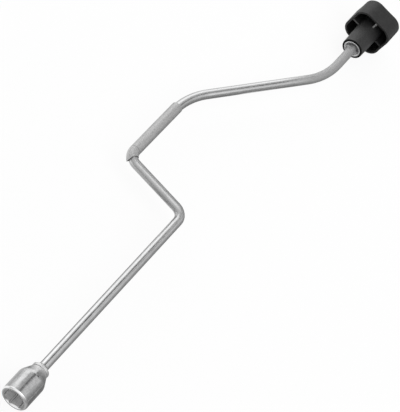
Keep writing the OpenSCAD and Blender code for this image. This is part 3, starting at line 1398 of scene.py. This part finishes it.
    def build_cap(self) -> Piece:
        """The plug in the knob's top, with a shallow ring turned into its face.

        Returns:
            The cap.
        """
        foot, face = self.shelf - self.cap_skirt, self.top - self.cap_dip
        skirt = self.pocket_radius - self.cap_room
        inner = skirt - self.cap_wall
        return smooth(turn("cap", [
            (self.shelf, inner), (foot, inner), (foot, skirt), (self.shelf, skirt),
            (self.shelf, self.cap_radius), (self.top, self.cap_radius - self.cap_room, 0.4 * MM),
            (self.top, 7.6 * MM, 0.15 * MM), (face, 7.2 * MM), (face, 6.2 * MM),
            (self.top, 5.8 * MM, 0.15 * MM)], KNOB_Y, steps=3), angle=30)

    def dress(self, knob: Piece, cup: Piece, cap: Piece) -> None:
        """Gives the mouldings their black grain and the cup its bright plate, with painted shade in
        the hub's mouth and on the cup's dished floor, and painted highlights on two ribs' edges.

        Args:
            knob: The knob.
            cup: The cup.
            cap: The cap.
        """
        black = BlackMoulding(name="black_moulding", dark=0.015, pale=0.027, roughness=0.56).make()
        even = (2 * MM, 2 * MM, 2 * MM)
        coat(knob, black)
        self._dress_edges(knob)
        coat(cap, black)
        coat(cup, PlatedSteel(name="cup_plate", pale=0.95, dark=0.75, roughness=0.24, line=even,
                              blotch=1.6 * MM, wave=0.006 * MM, wave_size=2.5 * MM).make())
        # Painted shade: the cup's dished floor round the bar is made darker than its rim
        coat(cup, PlatedSteel(name="cup_floor_painted_shade", pale=0.6, dark=0.22, roughness=0.3, line=even,
                              blotch=1.3 * MM, wave=0.01 * MM, wave_size=2.5 * MM).make(),
             lambda p: self.start + 0.9 * MM < p.x
             and distance(p, KNOB_Y) < self.cup_radius - 1.7 * MM)
        for piece, node, slot in ((knob, "knob_body", "knob_plastic"),
                                  (cap, "knob_cap", "knob_plastic"),
                                  (cup, "hub_cup", "cup_plating")):
            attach(piece, "knob")
            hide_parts(node)

    def _dress_edges(self, knob: Piece) -> None:
        """Makes the hub greyer, paints shade into its mouth and paints highlights on the edges of two
        ribs.

        Args:
            knob: The knob, in its main finish.
        """
        edge, half_rib = self.rim + self.rib_drop + 0.1 * MM, self.rib / 2
        for name, dark, pale, gloss, keep in (
                ("hub_moulding", 0.028, 0.046, 0.4,
                 lambda p: self.start + 0.8 * MM < p.x < self.ceiling + HAIR
                 and -self.lip < distance(p, KNOB_Y) - self.hub_radius
                 and distance(p, KNOB_Y) < self.hub_root + HAIR),
                # Painted shade: the hub's mouth, where it meets the cup, is made near black
                ("hub_mouth_painted_shade", 0.003, 0.007, 0.12, lambda p: p.x < self.start + self.lip),
                # Painted highlights on the edges of the near rib and, fainter, the left rib
                ("near_rib_painted_highlight", 0.3, 0.5, 0.4, lambda p: abs(p.x - edge) < self.highlight_strip
                 and abs(p.y - KNOB_Y) < half_rib and p.z > self.hub_radius),
                ("left_rib_painted_highlight", 0.08, 0.14, 0.4, lambda p: abs(p.x - edge) < self.highlight_strip
                 and abs(p.z) < half_rib and p.y > KNOB_Y + self.hub_radius)):
            coat(knob, BlackMoulding(name=name, dark=dark, pale=pale, roughness=0.5,
                                     gloss=gloss).make(), keep)


@dataclass
class Retainer:
    """The washer and the push-on ring inside the knob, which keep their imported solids."""

    def dress(self) -> None:
        """Gives both hidden pieces a turned or blued finish."""
        for node, finish in (
                ("end_washer", PlatedSteel(
                    name="washer_plate", pale=0.58, dark=0.44, roughness=0.3,
                    line=(1 * MM, 3 * MM, 3 * MM), blotch=2 * MM)),
                ("push_on_retainer", PlatedSteel(
                    name="blued_steel", pale=0.2, dark=0.11, roughness=0.34,
                    line=(1 * MM, 2 * MM, 2 * MM), blotch=1.5 * MM))):
            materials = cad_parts[node].data.materials
            materials.clear()
            materials.append(finish.make())


# The studio


class Card(Enum):
    """The cards that stand round the object, seen in its gloss alone, by their brightness."""

    BLACK = 0.03
    DIM = 0.36
    GREY = 0.45
    MIDDLE = 0.5
    BRIGHT = 1.5


@dataclass
class Studio:
    """The pale floor, the soft lamps, the cards that gloss shows and the camera.

    ambient is how bright the world is as a lamp, shadow the share of the floor that takes shadow
    and weave how much paler a card is in its weave.
    """

    floor_z: float = -23.4 * MM
    floor_size: float = 30
    floor_tones: Pair = (0.93, 0.96)
    floor_glow: float = 1.05
    shadow: float = 0.14
    ambient: float = 0.38
    centre: Point = (0.33, 0.03, 0.0)
    weave: float = 1.1
    card_lift: float = 0.05 * MM
    wall_radius: float = 2.0
    wall_height: float = 1.4
    wall_arc: Pair = (100, 342)
    wall_steps: int = 40
    wall_top: float = 0.97
    image: tuple[int, int] = (400, 412)
    sensor: float = 36.0
    focal: float = 2111.57
    optical: Pair = (200.5, 206.5)
    eye: Point = (-0.9438, 0.1304, 1.6569)
    right: Point = (0.5407, -0.7015, 0.4644)
    down: Point = (-0.5902, -0.7096, -0.3848)
    ahead: Point = (0.5994, -0.0661, -0.7977)
    far: float = 50.0

    def build(self) -> None:
        """Sets up floor, light, cards and camera."""
        self._world()
        self._floor()
        for name, place, size, level in (
                ("side_softbox", (1.35, 1.02, 0.5), (2.4, 1.1), 1.12),
                ("overhead_softbox", (0.3, -0.7, 1.6), (1.3, 2.3), 1.0)):
            self._lamp(name, place, size, level)
        for name, card, place, size in (
                ("card_over_shank", Card.BLACK, (0.78, 0.26, 1.0), (0.32, 0.5)),
                ("card_over_return", Card.BLACK, (1.22, -0.28, 1.0), (0.34, 0.42)),
                ("front_card", Card.MIDDLE, (1.6, -0.1, 0.4), (0.6, 0.9))):
            self._card(name, card, place, size, self._facing(place))
        for name, card, low, high in (
                ("card_beside_shank", Card.DIM, (0.0, -0.25), (0.75, 0.0)),
                ("card_inside_crank", Card.DIM, (0.285, 0.0), (0.45, 0.075)),
                ("card_beside_arm", Card.DIM, (0.06, 0.015), (0.26, 0.045)),
                ("card_behind_shank", Card.BRIGHT, (0.08, 0.09), (0.33, 0.4))):
            middle = ((low[0] + high[0]) / 2, (low[1] + high[1]) / 2, self.floor_z + self.card_lift)
            self._card(name, card, middle, (high[0] - low[0], high[1] - low[1]), Matrix.Identity(3))
        self._wall()
        self._camera()

    def _world(self) -> None:
        """A white room to the eye and to gloss, and a softer one to everything else."""
        world = bpy.data.worlds.new("white_room")
        world.use_nodes = True
        bpy.context.scene.world = world
        sh = Shader(world.node_tree)
        strength = self._seen(sh) * (1 - self.ambient) + self.ambient
        back = sh.value("ShaderNodeBackground", None, {"Color": grey(1.0), "Strength": strength})
        sh.node("ShaderNodeOutputWorld", None, {"Surface": back})

    @staticmethod
    def _seen(sh: Shader) -> Value:
        """1 for rays from the camera or off gloss or through glass, 0 for the rest."""
        camera, glossy, through = sh.values(sh.node("ShaderNodeLightPath"), (
            "Is Camera Ray", "Is Glossy Ray", "Is Transmission Ray"))
        return camera.larger(glossy.larger(through))

    def _floor(self) -> None:
        """A plain floor that looks white and keeps a trace of the shadow."""
        bpy.ops.mesh.primitive_plane_add(size=self.floor_size,
                                         location=(*self.centre[:2], self.floor_z))
        floor = adopt("floor")
        material, sh = new_material("pale_floor")
        matt = sh.value("ShaderNodeBsdfDiffuse", None, {
            "Color": sh.blend(sh.grain(0.4), *(grey(tone) for tone in self.floor_tones))})
        sh.end(sh.value("ShaderNodeMixShader", None, {
            0: self._seen(sh) * (1 - self.shadow), 1: matt,
            2: sh.glow(grey(1.0), self.floor_glow)}))
        floor.data.materials.append(material)

    def _facing(self, place: Point) -> Matrix:
        """How something at that place is turned to look at the object, its width level."""
        return (Vector(place) - Vector(self.centre)).to_track_quat("Z", "Y").to_matrix()

    def _lamp(self, name: str, place: Point, size: Pair, level: float) -> None:
        """A soft rectangular lamp that looks at the object.

        Args:
            name: The lamp's name.
            place: Its centre.
            size: Its width and height.
            level: How bright its face is, where 1 is white.
        """
        data = bpy.data.lights.new(name, "AREA")
        data.shape = "RECTANGLE"
        data.size, data.size_y = size
        data.energy = level * math.pi * size[0] * size[1]
        lamp = bpy.data.objects.new(name, data)
        bpy.context.scene.collection.objects.link(lamp)
        lamp.matrix_world = Matrix.Translation(place) @ self._facing(place).to_4x4()

    def _gloss_only(self, piece: Piece, low: Card, high: float,
                    pattern: Callable[[Shader], Value]) -> None:
        """Makes a piece shine by itself, seen by nothing but gloss.

        Args:
            piece: The piece.
            low: How bright it is where the pattern is 0.
            high: How bright it is where the pattern is 1.
            pattern: Builds the pattern.
        """
        material, sh = new_material(piece.name)
        sh.end(sh.glow(sh.blend(pattern(sh), grey(low.value), grey(high))))
        piece.data.materials.append(material)
        piece.visible_camera = piece.visible_diffuse = False
        piece.visible_shadow = piece.visible_transmission = False

    def _card(self, name: str, card: Card, place: Point, size: Pair, turned: Matrix) -> None:
        """A card of even brightness.

        Args:
            name: The card's name.
            card: How bright it is.
            place: Its centre.
            size: Its width and height.
            turned: How it is turned from lying flat.
        """
        bpy.ops.mesh.primitive_plane_add(size=1, location=place, rotation=turned.to_euler())
        bpy.context.active_object.scale = (*size, 1)
        self._gloss_only(adopt(name), card, card.value * self.weave, lambda sh: sh.grain(0.1))

    def _wall(self) -> None:
        """A grey wall round the back, paler towards its top."""
        start, end = (math.radians(angle) for angle in self.wall_arc)
        foot = (self.centre[0] + self.wall_radius * math.cos(start),
                self.centre[1] + self.wall_radius * math.sin(start), self.floor_z)
        bpy.ops.mesh.primitive_plane_add(size=1, location=foot)
        wall = adopt("grey_wall")
        with editing(wall):
            pick(Element.VERTEX, lambda p: p.x > foot[0] or p.y > foot[1])
            bpy.ops.mesh.delete(type="VERT")
            pick(Element.VERTEX, anywhere)
            push((0.5, 0.5, 0))
            draw_out((0, 0, self.wall_height))
            bpy.ops.mesh.select_mode(type="EDGE")
            bpy.ops.mesh.select_all(action="SELECT")
            swing(end - start, self.centre, self.wall_steps)
        self._gloss_only(wall, Card.GREY, self.wall_top, lambda sh: sh.ramp(
            sh.value("ShaderNodeSeparateXYZ", None,
                     {0: sh.value("ShaderNodeTexCoord", output="Object")}, "Z"),
            self.floor_z, self.wall_height))

    def _camera(self) -> None:
        """The photograph's camera."""
        data = bpy.data.cameras.new("camera")
        width, height = self.image
        data.sensor_fit = "AUTO"
        data.sensor_width = self.sensor
        data.lens = self.focal / max(width, height) * data.sensor_width
        data.shift_x = -(self.optical[0] - width / 2) / max(width, height)
        data.shift_y = (self.optical[1] - height / 2) / max(width, height)
        data.clip_end = self.far
        camera = bpy.data.objects.new("camera", data)
        bpy.context.scene.collection.objects.link(camera)
        axes = (Vector(self.right), -Vector(self.down), -Vector(self.ahead))
        camera.matrix_world = (Matrix.Translation(self.eye)
                               @ Matrix(axes).transposed().to_4x4())
        bpy.context.scene.camera = camera
        bpy.context.scene.view_settings.view_transform = "Standard"


def main() -> None:
    """Builds and dresses every piece in order."""
    logging.basicConfig(level=logging.INFO, format="%(name)s: %(message)s")
    Studio().build()
    rod = CrankRod()
    bar = rod.build()
    rod.dress(bar)
    socket = Socket()
    shell, weld = socket.build(), socket.build_weld()
    socket.dress(shell, weld)
    grip = Grip()
    sleeve, stop = grip.build_sleeve(), grip.build_stop()
    grip.dress(sleeve, stop)
    knob = Knob()
    body, cup, cap = knob.build(), knob.build_cup(), knob.build_cap()
    knob.dress(body, cup, cap)
    Retainer().dress()
    take(None)


if __name__ == "__main__":
    main()
